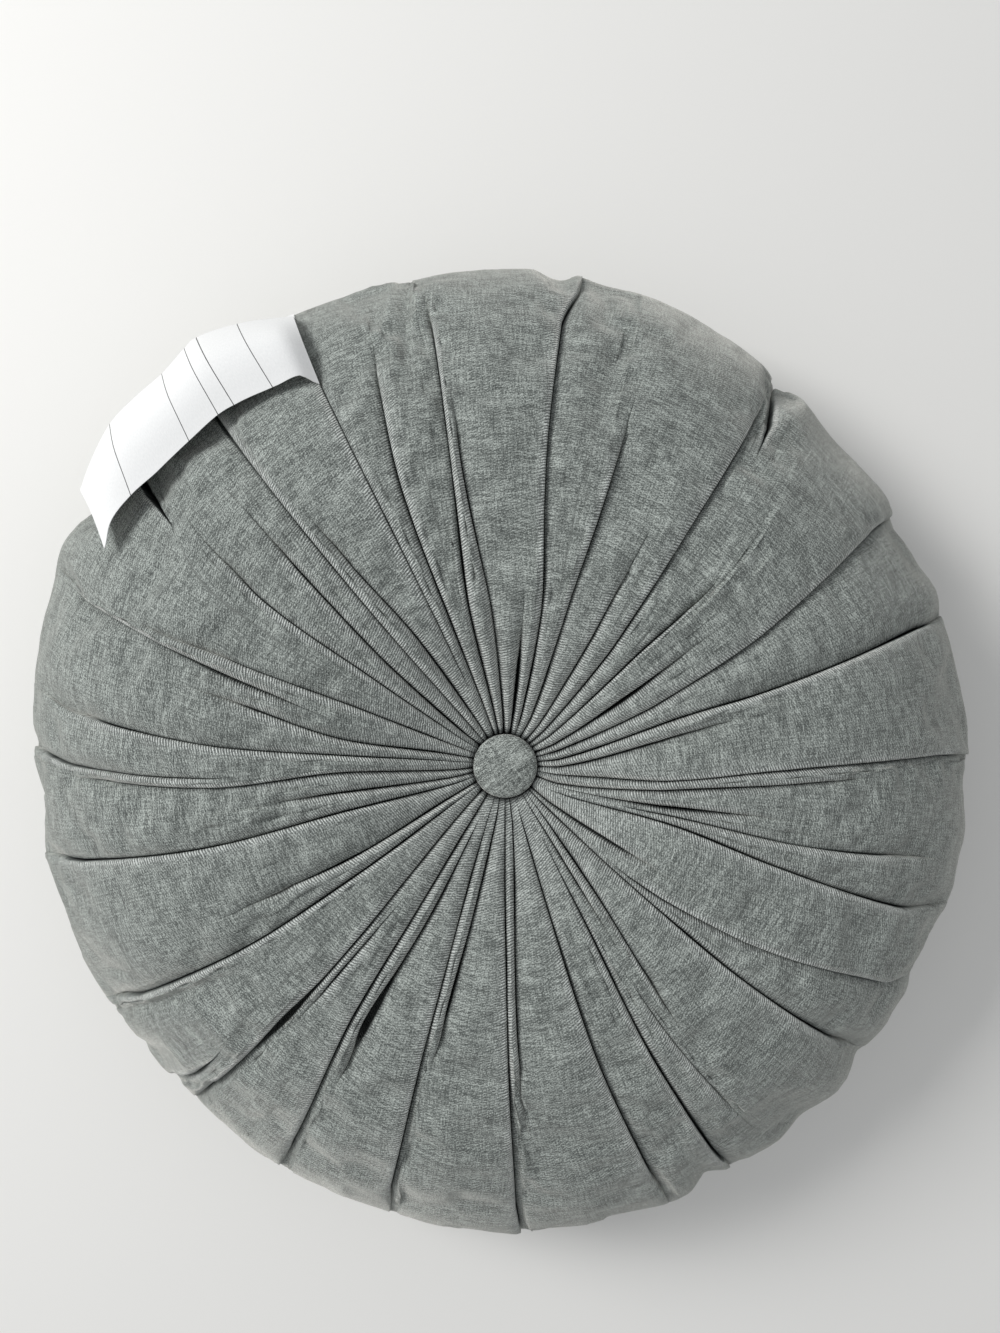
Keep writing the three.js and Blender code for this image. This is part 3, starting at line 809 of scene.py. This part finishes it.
def spread_moves(rings, kept, moves):
    """Moves the fine rings with the cage, evenly between its rings and its columns."""
    wide = len(PLEATS) * len(CAGE_COLUMNS)
    kept_row = 0
    for r, (points, _) in enumerate(rings):
        while kept_row < len(kept) - 2 and r > kept[kept_row + 1]:
            kept_row += 1
        apart = kept[kept_row + 1] - kept[kept_row]
        down = clamp((r - kept[kept_row]) / apart, 0.0, 1.0)
        columns = cage_columns(len(points))
        upper, lower = kept_row * wide, (kept_row + 1) * wide
        along = [moves[upper + c].lerp(moves[lower + c], down) for c in range(wide)]
        for c, (start, stop) in enumerate(zip(columns, columns[1:] + [columns[0] + len(points)])):
            for n in range(start, stop):
                move = along[c].lerp(along[(c + 1) % wide], (n - start) / (stop - start))
                point = points[n % len(points)]
                moved = Vector(point["place"]) + move
                point["place"] = (moved.x, moved.y, max(moved.z, 0.0))


def press_out(rings, seam_row):
    """Runs the cloth solver on the cage and moves the fine rings with it."""
    kept = list(range(seam_row % CAGE_ROW_STEP, seam_row, CAGE_ROW_STEP))
    kept += list(range(seam_row, len(rings)))
    cage = build_cage(rings, kept)
    moves = cage_moves(cage)
    bpy.data.meshes.remove(cage.data)
    spread_moves(rings, kept, moves)
    lengths = sorted(move.length for move in moves)
    print("cage points:", len(moves), "largest move:", round(lengths[-1] / MM, 2), "mm, middle one:",
          round(lengths[len(lengths) // 2] / MM, 2), "mm")


# %% [markdown]
# ## Laying the cloth's grain
# The threads of a panel run straight along it, and the cloth that a pleat hides doesn't show.
# A map made from angles would squeeze the weave beside the button. Here each ring's cloth is
# measured in true millimetres, and each panel keeps its place from the ring outside it, so the
# hidden cloth piles up in the slots. On the front, a fold once opened stays a cut in the map all
# the way in. The map is held in metres: across the panel and along it.

# %% Grain map
def grain_of_ring(points, radius, opened, outer):
    """How far across the cloth each point of a ring lies, with one more value for its end."""
    turns = [p["turn"] for p in points] + [points[0]["turn"] + 360]
    across = [math.radians(turn) * radius for turn in turns]
    if outer is None:
        return across
    per_fold = len(points) // len(PLEATS)
    cuts = [0]
    cuts += [i * per_fold for i in range(1, len(PLEATS)) if opened[i]]
    cuts.append(len(turns))
    grain = []
    for start, stop in zip(cuts, cuts[1:]):
        drift = sum(outer[k] - across[k] for k in range(start, stop)) / (stop - start)
        grain.extend(across[k] + drift for k in range(start, stop))
    return grain


def grain_of_cover(rings, seam_row):
    """Grain of every ring, worked out from the seam inwards on each face."""
    grains = [None] * len(rings)
    outer = None
    cut = [False] * len(PLEATS)
    for r in range(seam_row, -1, -1):
        points, opened = rings[r]
        cut = [before or now for before, now in zip(cut, opened)]
        outer = grain_of_ring(points, ROWS[r]["radius"], cut, outer)
        grains[r] = outer
    outer = grains[seam_row][::2]
    for r in range(seam_row + 1, len(rings)):
        points, opened = rings[r]
        outer = grain_of_ring(points, ROWS[r]["radius"], opened, outer)
        grains[r] = outer
    return grains


# %% [markdown]
# ## The cover's mesh
# The rings are joined with four-sided faces, and a disc closes the cover under each button. The
# back has half as many columns, because it is plainer: at the seam, pairs of columns join.

# %% Faces of the cover
def faces_of_cover(rings, seam_row):
    """Faces as lists of (ring, column), with columns that may run one past the ring's end."""
    faces = []
    for r in range(len(rings) - 1):
        count = len(rings[r][0])
        if r == seam_row:
            for c in range(0, count, 2):
                faces.append([(r, c), (r + 1, c // 2), (r, c + 1)])
                faces.append([(r, c + 1), (r + 1, c // 2), (r + 1, c // 2 + 1), (r, c + 2)])
        else:
            for c in range(count):
                faces.append([(r, c), (r + 1, c), (r + 1, c + 1), (r, c + 1)])
    return faces


def cap_faces(starts, rings, middle):
    """Two fans of triangles that close the cover round the points middle and middle + 1."""
    caps = []
    for ring, (r, turned) in enumerate(((0, False), (len(rings) - 1, True))):
        count = len(rings[r][0])
        for c in range(count):
            pair = [starts[r] + c, starts[r] + (c + 1) % count]
            caps.append([middle + ring] + (pair[::-1] if turned else pair))
    return caps


# %% Cover mesh
def add_grain_map(mesh, corners, grains):
    """The map in metres, for the faces of the rings and, at nought, for those of the caps."""
    spots = [0.0] * (2 * len(mesh.loops))
    filled = 0
    for corner in corners:
        for r, c in corner:
            spots[filled:filled + 2] = (grains[r][c] * MM, ROWS[r]["length"] * MM)
            filled += 2
    mesh.uv_layers.new(name="grain").data.foreach_set("uv", spots)


def add_finish_marks(mesh, rings):
    """The marks of painted highlight (edge) and painted shade at each point."""
    marks = [p for points, _ in rings for p in points]
    for name in ("edge", "cavity_shade"):
        values = [p[name] for p in marks] + [0.0, 0.0]
        mesh.attributes.new("fold_" + name, "FLOAT", "POINT").data.foreach_set("value", values)


def build_cover():
    """The filled cover as one closed mesh with its grain map and finish marks."""
    seam_row = max(r for r, row in enumerate(ROWS) if row["front"])
    rings = []
    for r, row in enumerate(ROWS):
        points, opened = cover_ring(row)
        rings.append((points if r <= seam_row else points[::2], opened))
    press_out(rings, seam_row)
    starts = []
    places = []
    for points, _ in rings:
        starts.append(len(places))
        places.extend(p["place"] for p in points)
    corners = faces_of_cover(rings, seam_row)
    faces = [[starts[r] + c % len(rings[r][0]) for r, c in face] for face in corners]
    faces += cap_faces(starts, rings, len(places))
    places += [(0, 0, ROWS[0]["height"] * MM), (0, 0, ROWS[-1]["height"] * MM)]
    made = mesh_object("cover", places, faces)
    add_grain_map(made.data, corners, grain_of_cover(rings, seam_row))
    add_finish_marks(made.data, rings)
    made.data.shade_smooth()
    return made


cover = build_cover()
print("cover faces:", len(cover.data.polygons), "points:", len(cover.data.vertices))

# %% [markdown]
# ## Threads of the cloth
# The cloth is brushed from mixed grey yarns. Seen closely it has short fibres in every
# direction, thin streaks and broader dashes of darker and paler yarn across each panel, soft
# clouds, thick threads along it, and fine ribs, which open where it bends. Each could be its own
# texture in each material, but the cover and the buttons share them, so they are made once as a
# node group that puts out a shade and a height. It reads a place in metres. A row of the table is
# one grain: how many of it go to a metre across, along and deep, its detail and roughness, and
# how far it changes the shade. Raising the shade to a power leaves pale flecks on darker cloth.

# %% Node helpers
def new_group(name, inputs, outputs):
    """An empty node group with its sockets, and its two end nodes."""
    group = bpy.data.node_groups.new(name, "ShaderNodeTree")
    for title, kind, value in inputs:
        socket = group.interface.new_socket(title, in_out="INPUT", socket_type=kind)
        if value is not None:
            socket.default_value = value
    for title, kind in outputs:
        group.interface.new_socket(title, in_out="OUTPUT", socket_type=kind)
    return group, group.nodes.new("NodeGroupInput"), group.nodes.new("NodeGroupOutput")


def feed(tree, source, target):
    """Links a socket, or sets a plain value, on a target socket."""
    if isinstance(source, bpy.types.NodeSocket):
        tree.links.new(source, target)
    else:
        target.default_value = source


def feed_all(tree, node, inputs):
    """Feeds several of a node's inputs by their names."""
    for name, source in inputs.items():
        feed(tree, source, node.inputs[name])


def new_node(tree, kind, inputs):
    """A new node with its inputs fed."""
    node = tree.nodes.new(kind)
    feed_all(tree, node, inputs)
    return node


def math_node(tree, kind, a, b=0.0, c=0.0, clamped=False):
    """A math node's result."""
    node = tree.nodes.new("ShaderNodeMath")
    node.operation = kind
    node.use_clamp = clamped
    for socket, value in zip(node.inputs, (a, b, c)):
        feed(tree, value, socket)
    return node.outputs[0]


def stretched_noise(tree, place, per_metre, detail, roughness):
    """Noise whose grains are per_metre = (across, along, deep) to the metre, from 0 to 1."""
    scaled = new_node(tree, "ShaderNodeMapping", {"Vector": place, "Scale": per_metre})
    texture = new_node(tree, "ShaderNodeTexNoise", {
        "Vector": scaled.outputs[0], "Scale": 1.0, "Detail": detail, "Roughness": roughness})
    return texture.outputs["Fac"]


def mixed_colour(tree, share, first, second):
    """Colour between two others."""
    node = tree.nodes.new("ShaderNodeMix")
    node.data_type = "RGBA"
    feed(tree, share, node.inputs[0])
    feed(tree, first, node.inputs[6])
    feed(tree, second, node.inputs[7])
    return node.outputs[2]


# %% Threads as a node group
GRAIN_COLUMNS = ("name", "per_metre", "detail", "roughness", "in_shade")
GRAIN_ROWS = [
    ("fibre", (1700, 2100, 1700), 2, 0.75, 3.2),
    ("heather", (90, 700, 200), 2, 0.6, 0.9),
    ("streak", (230, 2000, 500), 2, 0.65, 1.5),
    ("cloud", (60, 170, 80), 3, 0.6, 0.55),
    ("slub", (1300, 120, 400), 1, 0.5, 0.75),
]
GRAINS = [dict(zip(GRAIN_COLUMNS, row)) for row in GRAIN_ROWS]
RIB_PITCH = 0.00105
RIB_SLANT = 0.45
RIB_WANDER = 0.0022
RIB_BREAKS = (3.4, -0.7)
RIB_IN_SHADE = 0.75
RIB_IN_HEIGHT = 1.1
FIBRE_IN_HEIGHT = 0.7
STREAK_IN_HEIGHT = 0.4
PALE_FLECKS = 1.6


def add_ribs(group, place, fibre, cloud, strength):
    """Slanted, wandering ribs, broken up by the fibres."""
    split = new_node(group, "ShaderNodeSeparateXYZ", {"Vector": place})
    slanted = math_node(group, "MULTIPLY_ADD", split.outputs[0], RIB_SLANT, split.outputs[1])
    wandering = math_node(group, "MULTIPLY_ADD", cloud, RIB_WANDER, slanted)
    turns = math_node(group, "MULTIPLY", wandering, 2 * math.pi / RIB_PITCH)
    wave = math_node(group, "SINE", turns)
    breaks = math_node(group, "MULTIPLY_ADD", fibre, *RIB_BREAKS)
    return math_node(group, "MULTIPLY", math_node(group, "MULTIPLY", wave, breaks), strength)


def threads_group():
    """Shade and height of the brushed cloth at a place, with ribs as strong as asked."""
    group, start, end = new_group(
        "brushed_threads",
        [("Place", "NodeSocketVector", None), ("Ribs", "NodeSocketFloat", 0.1)],
        [("Shade", "NodeSocketFloat"), ("Height", "NodeSocketFloat")])
    place = start.outputs["Place"]
    noises = {}
    shade = None
    for grain in GRAINS:
        fac = stretched_noise(group, place, grain["per_metre"], grain["detail"], grain["roughness"])
        noises[grain["name"]] = fac
        share = math_node(group, "MULTIPLY_ADD", fac, grain["in_shade"], -grain["in_shade"] / 2)
        shade = share if shade is None else math_node(group, "ADD", shade, share)
    fibre = noises["fibre"]
    rib = add_ribs(group, place, fibre, noises["cloud"], start.outputs["Ribs"])
    shade = math_node(group, "ADD", shade, math_node(group, "MULTIPLY", rib, RIB_IN_SHADE))
    shade = math_node(group, "ADD", shade, 0.5, clamped=True)
    shade = math_node(group, "POWER", shade, PALE_FLECKS)
    height = math_node(group, "MULTIPLY", noises["streak"], STREAK_IN_HEIGHT)
    height = math_node(group, "MULTIPLY_ADD", fibre, FIBRE_IN_HEIGHT, height)
    height = math_node(group, "MULTIPLY_ADD", rib, RIB_IN_HEIGHT, height)
    feed_all(group, end, {"Shade": shade, "Height": height})
    return group


THREADS = threads_group()
print("threads group:", len(THREADS.nodes), "nodes, ribs every", RIB_PITCH * 1000, "mm")

# %% [markdown]
# ## The cloth's finish
# The yarns are mixed from a dark and a pale grey with a little green. Pile hides a surface that
# faces the eye and shows at its tips where the cloth turns away, which the sheen gives. Inside
# a fold shade is painted on, so the slot is darker than shadow alone would make it, and its
# sheen is taken away. Along the rolled edges and round the button a paler highlight is painted
# on, and the ribs stand out more there. These could be a painted texture, but the marks that the
# folds left on the mesh follow them exactly.

# %% Threads in a material
CLOTH_SHADER = {
    "Roughness": 0.92, "Specular IOR Level": 0.25, "Sheen Weight": 0.65, "Sheen Roughness": 0.4,
    "Sheen Tint": (1.0, 0.97, 0.9, 1),
}
PILE_HEIGHT = 0.0004


def new_material(name, inputs):
    """A material with its shader's inputs set, its node tree and its shader."""
    material = bpy.data.materials.new(name)
    material.use_nodes = True
    shader = material.node_tree.nodes["Principled BSDF"]
    feed_all(material.node_tree, shader, inputs)
    return material, material.node_tree, shader


def raise_surface(tree, shader, height, strength, distance):
    """Gives a shader a bumpy surface from the socket of its height."""
    bump = {"Height": height, "Strength": strength, "Distance": distance}
    raised = new_node(tree, "ShaderNodeBump", bump)
    feed(tree, raised.outputs[0], shader.inputs["Normal"])


def add_threads(tree, shader, place, ribs, bump):
    """Raises the threads on a material and returns the socket of their shade."""
    threads = tree.nodes.new("ShaderNodeGroup")
    threads.node_tree = THREADS
    feed_all(tree, threads, {"Place": place, "Ribs": ribs})
    raise_surface(tree, shader, threads.outputs["Height"], bump, PILE_HEIGHT)
    return threads.outputs["Shade"]


# %% Cover material
DARK_YARN = (0.078, 0.087, 0.082, 1)
PALE_YARN = (0.465, 0.503, 0.468, 1)
# The colour of the painted shade in the folds, and the dark and pale ends of the painted highlight.
FOLD_SHADE_COLOUR = (0.008, 0.009, 0.009, 1)
HIGHLIGHT_DARK = (0.19, 0.207, 0.197, 1)
HIGHLIGHT_PALE = (0.92, 0.96, 0.92, 1)
HIGHLIGHT_POWER = 2.0
RIBS_WHOLE = 0.14
RIBS_IN_HIGHLIGHT = 0.9
# The painted shade also takes away the sheen inside the folds.
SHEEN_IN_FOLD = -2
COVER_BUMP = 0.7


def cover_material():
    """The brushed cloth laid along the cover's own grain, with painted highlights and shade at its
    folds.
    """
    material, tree, shader = new_material("brushed_cloth", CLOTH_SHADER)
    grain = tree.nodes.new("ShaderNodeUVMap")
    grain.uv_map = "grain"
    marks = {}
    for name in ("edge", "cavity_shade"):
        mark = tree.nodes.new("ShaderNodeAttribute")
        mark.attribute_name = "fold_" + name
        marks[name] = mark.outputs["Fac"]
    # The edge mark becomes a painted highlight, and the ribs are strengthened there.
    highlight = math_node(tree, "POWER", marks["edge"], HIGHLIGHT_POWER)
    ribs = math_node(tree, "MULTIPLY_ADD", highlight, RIBS_IN_HIGHLIGHT, RIBS_WHOLE, clamped=True)
    shade = add_threads(tree, shader, grain.outputs[0], ribs, COVER_BUMP)
    whole = mixed_colour(tree, shade, DARK_YARN, PALE_YARN)
    highlit = mixed_colour(tree, shade, HIGHLIGHT_DARK, HIGHLIGHT_PALE)
    colour = mixed_colour(tree, highlight, whole, highlit)
    # The shade mark paints the folds dark and takes their sheen away.
    colour = mixed_colour(tree, marks["cavity_shade"], colour, FOLD_SHADE_COLOUR)
    sheen = math_node(tree, "MULTIPLY_ADD", marks["cavity_shade"], SHEEN_IN_FOLD,
                      CLOTH_SHADER["Sheen Weight"], clamped=True)
    feed_all(tree, shader, {"Base Color": colour, "Sheen Weight": sheen})
    return material


cover.data.materials.append(cover_material())
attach(cover, "root")
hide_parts("pleated_cover")
print("cover finished with", cover.data.materials[0].name)

# %% [markdown]
# ## The covered buttons
# A covered button is a shallow metal dome with the cover's cloth stretched over it and tucked
# under its edge. It could be a squashed ball, but the real one is nearly flat on top and turns
# down quickly at its edge, so a disc is pulled up ring by ring along that outline. It lies so
# deep that the folds crowd up to its edge. The cloth lies askew on it, as it does on the real
# one, so its streaks run across at an angle of their own.

# %% Buttons
BUTTON_SIDES = 72
BUTTON_OUTLINE = [
    (11.2, 0.0), (12.3, 0.5), (12.75, 1.3), (12.8, 2.0), (12.5, 2.9), (11.7, 3.65), (10.2, 4.3),
    (8.0, 4.9), (5.4, 5.3), (2.8, 5.55), (0.8, 5.65),
]
BUTTONS = {"front_button": {"seat": 78.4, "side": 1}, "back_button": {"seat": 19.6, "side": -1}}


def covered_button(name, seat, side):
    """One button, its underside at the height of its seat, facing up (1) or down (-1)."""
    bpy.ops.object.select_all(action="DESELECT")
    bpy.ops.mesh.primitive_circle_add(vertices=BUTTON_SIDES, radius=BUTTON_OUTLINE[0][0] * MM,
                                      fill_type="NGON", location=(0, 0, 0))
    button = bpy.context.object
    button.name = name
    bpy.ops.object.mode_set(mode="EDIT")
    bpy.ops.mesh.select_all(action="SELECT")
    for (wide, low), (narrow, high) in zip(BUTTON_OUTLINE, BUTTON_OUTLINE[1:]):
        rise = (0, 0, side * (high - low) * MM)
        bpy.ops.mesh.extrude_region_move(TRANSFORM_OT_translate={"value": rise})
        bpy.ops.transform.resize(value=(narrow / wide, narrow / wide, 1))
    bpy.ops.mesh.select_all(action="SELECT")
    bpy.ops.mesh.normals_make_consistent(inside=False)
    bpy.ops.transform.translate(value=(0, 0, seat * MM))
    bpy.ops.object.mode_set(mode="OBJECT")
    bpy.ops.object.shade_smooth()
    return button


# %% Button material
STREAK_TURN = 33
BUTTON_GRAIN = 1.3
BUTTON_RIBS = 0.1
BUTTON_BUMP = 0.5
BUTTON_DARK = (0.068, 0.076, 0.071, 1)
BUTTON_PALE = (0.56, 0.60, 0.56, 1)


def button_material():
    """The same cloth, read from the button's own places and turned askew."""
    material, tree, shader = new_material("button_cloth", CLOTH_SHADER)
    spot = tree.nodes.new("ShaderNodeTexCoord")
    askew = new_node(tree, "ShaderNodeMapping", {
        "Vector": spot.outputs["Object"], "Rotation": (0, 0, math.radians(-STREAK_TURN)),
        "Scale": (BUTTON_GRAIN, BUTTON_GRAIN, BUTTON_GRAIN)})
    shade = add_threads(tree, shader, askew.outputs[0], BUTTON_RIBS, BUTTON_BUMP)
    feed(tree, mixed_colour(tree, shade, BUTTON_DARK, BUTTON_PALE), shader.inputs["Base Color"])
    return material


button_cloth = button_material()
for node, measures in BUTTONS.items():
    button = covered_button(node + "_cover", **measures)
    button.data.materials.append(button_cloth)
    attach(button, "root")
    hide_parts(node)
    print(button.name, "faces:", len(button.data.polygons), "height:",
          round(button.dimensions.z / MM, 1), "mm")

# %% [markdown]
# ## The label
# The label is a strip of thin stiff bonded cloth, sewn in the seam by one long edge. It stands
# out from the side, curls over the rim and hangs free above the front face, a little wavy. A
# flat plane with a bend would curl evenly, so each row of this table shapes its section instead:
# its direction in degrees at the free edge and at the side, and in millimetres where the curl is
# widest, where its free edge hangs, and how far it sags between the two. Beside the puffed-out
# cover it is kept just clear of the cloth. It is left blank but for the thin rules that divide
# such a label.

# %% Label section
LABEL_COLUMNS = ("turn", "outer_turn", "bulge", "bulge_height", "free", "free_height", "sag")
LABEL_ROWS = [
    (115.7, 115.2, 196.4, 66, 161.2, 91, 3.2),
    (117.4, 117.0, 199.0, 66, 166.3, 94.5, 3.2),
    (120.9, 121.0, 204.2, 66, 167.4, 94.5, 3.2),
    (126.5, 125.7, 209.0, 66, 170.4, 94, 3.2),
    (128.8, 127.6, 208.6, 66, 171.4, 94, 3.2),
    (133.7, 131.2, 207.0, 66, 171.6, 94, 3.2),
    (139.4, 135.4, 208.0, 66, 173.0, 94, 3.6),
    (143.5, 139.1, 208.6, 66, 175.6, 94, 4.5),
    (147.5, 143.4, 206.3, 66, 176.8, 94, 6.5),
    (150.9, 146.9, 203.6, 66, 174.8, 92, 9.5),
]
SEWN_IN = (202.2, 48)
RISE_HEIGHT = 53
RISE_INSIDE = 2.2
BULGE_STARTS = 3
CURL_HIGHER = 8
CURL_INSIDE = 3.5
LABEL_ALONG = 60
LABEL_ACROSS = 28
LABEL_THICKNESS = 0.0003
LABEL_CLEAR = 0.5
SECTION_STEP = 1.0
SKEW_POWER = 1.6
OUTSIDE = 260


def label_row(turn):
    """The label's own measures at a direction, between the rows of its table."""
    i = 0
    while i < len(LABEL_ROWS) - 2 and turn > LABEL_ROWS[i + 1][0]:
        i += 1
    share = (turn - LABEL_ROWS[i][0]) / (LABEL_ROWS[i + 1][0] - LABEL_ROWS[i][0])
    return dict(zip(LABEL_COLUMNS, curve_point(LABEL_ROWS, i, share)))


def cover_reach(turn, height):
    """How far from the middle the finished cover's side stands, in millimetres."""
    outside = Vector(place(turn, OUTSIDE, height))
    inside = Vector(place(turn, 0, height))
    found, spot, _, _ = cover.ray_cast(outside, inside - outside)
    reach = Vector((spot.x, spot.y)).length / Vector((outside.x, outside.y)).length
    return OUTSIDE * reach if found else 0.0


def label_section(row):
    """The label's points (radius, height) from the seam to its free edge, at one direction."""
    bulge, top = row["bulge"], row["bulge_height"]
    path = [
        SEWN_IN, (bulge - RISE_INSIDE, RISE_HEIGHT), (bulge, top - BULGE_STARTS),
        (bulge - CURL_INSIDE, top + CURL_HIGHER),
        (blend(bulge, row["free"], 0.5), row["free_height"] - row["sag"]),
        (row["free"], row["free_height"]),
    ]
    spots = walk(path, SECTION_STEP)
    return [spots[round(c / LABEL_ACROSS * (len(spots) - 1))][:2] for c in range(LABEL_ACROSS + 1)]


def label_places():
    """The label's points, row by row along it and from the seam outwards in each row."""
    first, last = LABEL_ROWS[0][0], LABEL_ROWS[-1][0]
    places = []
    for a in range(LABEL_ALONG + 1):
        turn = blend(first, last, a / LABEL_ALONG)
        row = label_row(turn)
        for radius, height in label_section(row):
            if SEAM_HEIGHT < height < row["bulge_height"]:
                radius = max(radius, cover_reach(row["outer_turn"], height) + LABEL_CLEAR)
            come_in = clamp((row["bulge"] - radius) / (row["bulge"] - row["free"]), 0.0, 1.0)
            curled = height > row["bulge_height"] - BULGE_STARTS
            inwards = come_in**SKEW_POWER if curled else 0.0
            places.append(place(blend(row["outer_turn"], turn, inwards), radius, height))
    return places


print("the label's section has", len(label_section(label_row(130))), "points")


# %% Label sheet
SHARP_ANGLE = 40


def label_sheet():
    """The curled strip as a thin shell, with a map of its own length and width."""
    across = LABEL_ACROSS + 1
    faces = [[a * across + c, (a + 1) * across + c, (a + 1) * across + c + 1, a * across + c + 1]
             for a in range(LABEL_ALONG) for c in range(LABEL_ACROSS)]
    sheet = mesh_object("label_sheet", label_places(), faces)
    spots = []
    for face in faces:
        for corner in face:
            a, c = divmod(corner, across)
            spots.extend((a / LABEL_ALONG, c / LABEL_ACROSS))
    sheet.data.uv_layers.new(name="lie").data.foreach_set("uv", spots)
    sheet.data.shade_smooth()
    bpy.ops.object.select_all(action="DESELECT")
    bpy.context.view_layer.objects.active = sheet
    sheet.select_set(True)
    shell = sheet.modifiers.new("thickness", "SOLIDIFY")
    shell.thickness = LABEL_THICKNESS
    shell.offset = 0
    bpy.ops.object.modifier_apply(modifier=shell.name)
    bpy.ops.object.shade_smooth_by_angle(angle=math.radians(SHARP_ANGLE))
    return sheet


# %% Label material
LABEL_SHADER = {"Roughness": 0.62, "Specular IOR Level": 0.3}
BONDED_DARK = (0.68, 0.685, 0.68, 1)
BONDED_PALE = (0.84, 0.84, 0.83, 1)
BONDED_GRAIN = {"per_metre": (230, 60, 60), "detail": 3, "roughness": 0.6}
BONDED_BUMP = 0.3
BONDED_HEIGHT = 0.0002
RULE_INK = (0.06, 0.06, 0.06, 1)
RULES = (0.156, 0.307, 0.372, 0.511, 0.79)
RULE_WIDTH = 0.0016


def label_material():
    """White bonded cloth: faint flat fibres, and the thin rules across it."""
    material, tree, shader = new_material("bonded_white", LABEL_SHADER)
    lie = tree.nodes.new("ShaderNodeUVMap")
    lie.uv_map = "lie"
    fibres = stretched_noise(tree, lie.outputs[0], **BONDED_GRAIN)
    raise_surface(tree, shader, fibres, BONDED_BUMP, BONDED_HEIGHT)
    colour = mixed_colour(tree, fibres, BONDED_DARK, BONDED_PALE)
    split = new_node(tree, "ShaderNodeSeparateXYZ", {"Vector": lie.outputs[0]})
    ruled = None
    for rule in RULES:
        line = math_node(tree, "COMPARE", split.outputs[0], rule, RULE_WIDTH)
        ruled = line if ruled is None else math_node(tree, "MAXIMUM", ruled, line)
    feed(tree, mixed_colour(tree, ruled, colour, RULE_INK), shader.inputs["Base Color"])
    return material


label = label_sheet()
label.data.materials.append(label_material())
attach(label, "root")
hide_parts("label")
print("label faces:", len(label.data.polygons))

# %% [markdown]
# ## Floor and light
# The floor is plain and pale. One large soft light stands above the upper left, and the pale
# surroundings fill the shadows. A picture of a room could light it too, but one lamp at the side
# shows the ridges of the folds best, as in the photograph.

# %% Stage
FLOOR_SIZE = 6
FLOOR_SHADER = {"Base Color": (0.84, 0.83, 0.80, 1), "Roughness": 0.9}
KEY_PLACE = (-1.15, 0.62, 1.05)
KEY_TARGET = (0, 0, 0.05)
KEY_SIZE = 0.6
KEY_POWER = 20
SKY = {"Color": (0.95, 0.97, 1, 1), "Strength": 0.5}


def add_floor():
    """A large pale floor, which belongs to the stage only."""
    bpy.ops.object.select_all(action="DESELECT")
    bpy.ops.mesh.primitive_plane_add(size=FLOOR_SIZE, location=(0, 0, 0))
    floor = bpy.context.object
    floor.name = "floor"
    floor.data.materials.append(new_material("floor_paint", FLOOR_SHADER)[0])


def add_key_light():
    """The large soft light at the upper left."""
    light = linked_object("key", bpy.data.lights.new("key", "AREA"))
    light.data.size = KEY_SIZE
    light.data.energy = KEY_POWER
    light.location = KEY_PLACE
    aim = Vector(KEY_TARGET) - Vector(KEY_PLACE)
    light.rotation_euler = aim.to_track_quat("-Z", "Y").to_euler()


def add_surroundings():
    """Even pale light from all sides."""
    world = bpy.data.worlds.new("studio")
    bpy.context.scene.world = world
    world.use_nodes = True
    feed_all(world.node_tree, world.node_tree.nodes["Background"], SKY)


add_floor()
add_key_light()
add_surroundings()
bpy.context.scene.view_settings.view_transform = "Standard"
